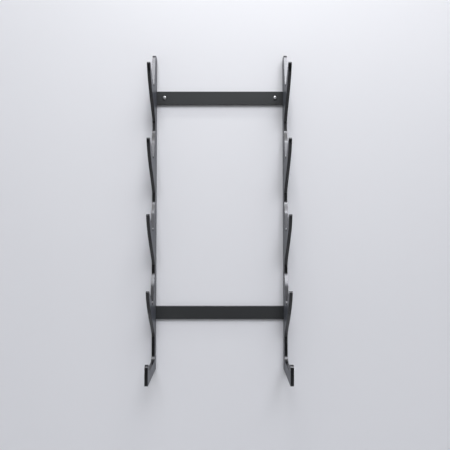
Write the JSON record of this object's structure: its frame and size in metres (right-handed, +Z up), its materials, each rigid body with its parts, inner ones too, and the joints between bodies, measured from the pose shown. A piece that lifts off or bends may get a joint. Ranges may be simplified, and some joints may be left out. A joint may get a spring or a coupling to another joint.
{
  "type": "wall cue rack",
  "caption": "Wall rack that holds billiard cues level, one above the other, in open hooks cut into two black side plates joined by flat rails.",
  "frame": {"origin": "midway between the axes of the two wall screws, on the wall's surface behind the top rail", "axes": "+X to the right as the rack is faced, +Y into the wall, +Z up"},
  "size_m": [0.2688, 0.126, 0.623],
  "materials": {
    "plate_acrylic": "polished black cast acrylic, flame-polished edges",
    "rail_acrylic": "black cast acrylic, satin face",
    "zinc_screw": "bright zinc plate",
    "black_screw": "black oxide",
    "brass_insert": "turned and knurled"
  },
  "bodies": {
    "root": {"side_plate_left": "plate_acrylic", "side_plate_right": "plate_acrylic", "top_rail": "rail_acrylic", "bottom_rail": "rail_acrylic", "wall_screw_left": "zinc_screw", "wall_screw_right": "zinc_screw", "joint_screw_top_left_upper": "black_screw", "joint_screw_top_left_lower": "black_screw", "joint_screw_top_right_upper": "black_screw", "joint_screw_top_right_lower": "black_screw", "joint_screw_bottom_left_upper": "black_screw", "joint_screw_bottom_left_lower": "black_screw", "joint_screw_bottom_right_upper": "black_screw", "joint_screw_bottom_right_lower": "black_screw", "insert_top_left_upper": "brass_insert", "insert_top_left_lower": "brass_insert", "insert_top_right_upper": "brass_insert", "insert_top_right_lower": "brass_insert", "insert_bottom_left_upper": "brass_insert", "insert_bottom_left_lower": "brass_insert", "insert_bottom_right_upper": "brass_insert", "insert_bottom_right_lower": "brass_insert"}
  },
  "joints": []
}
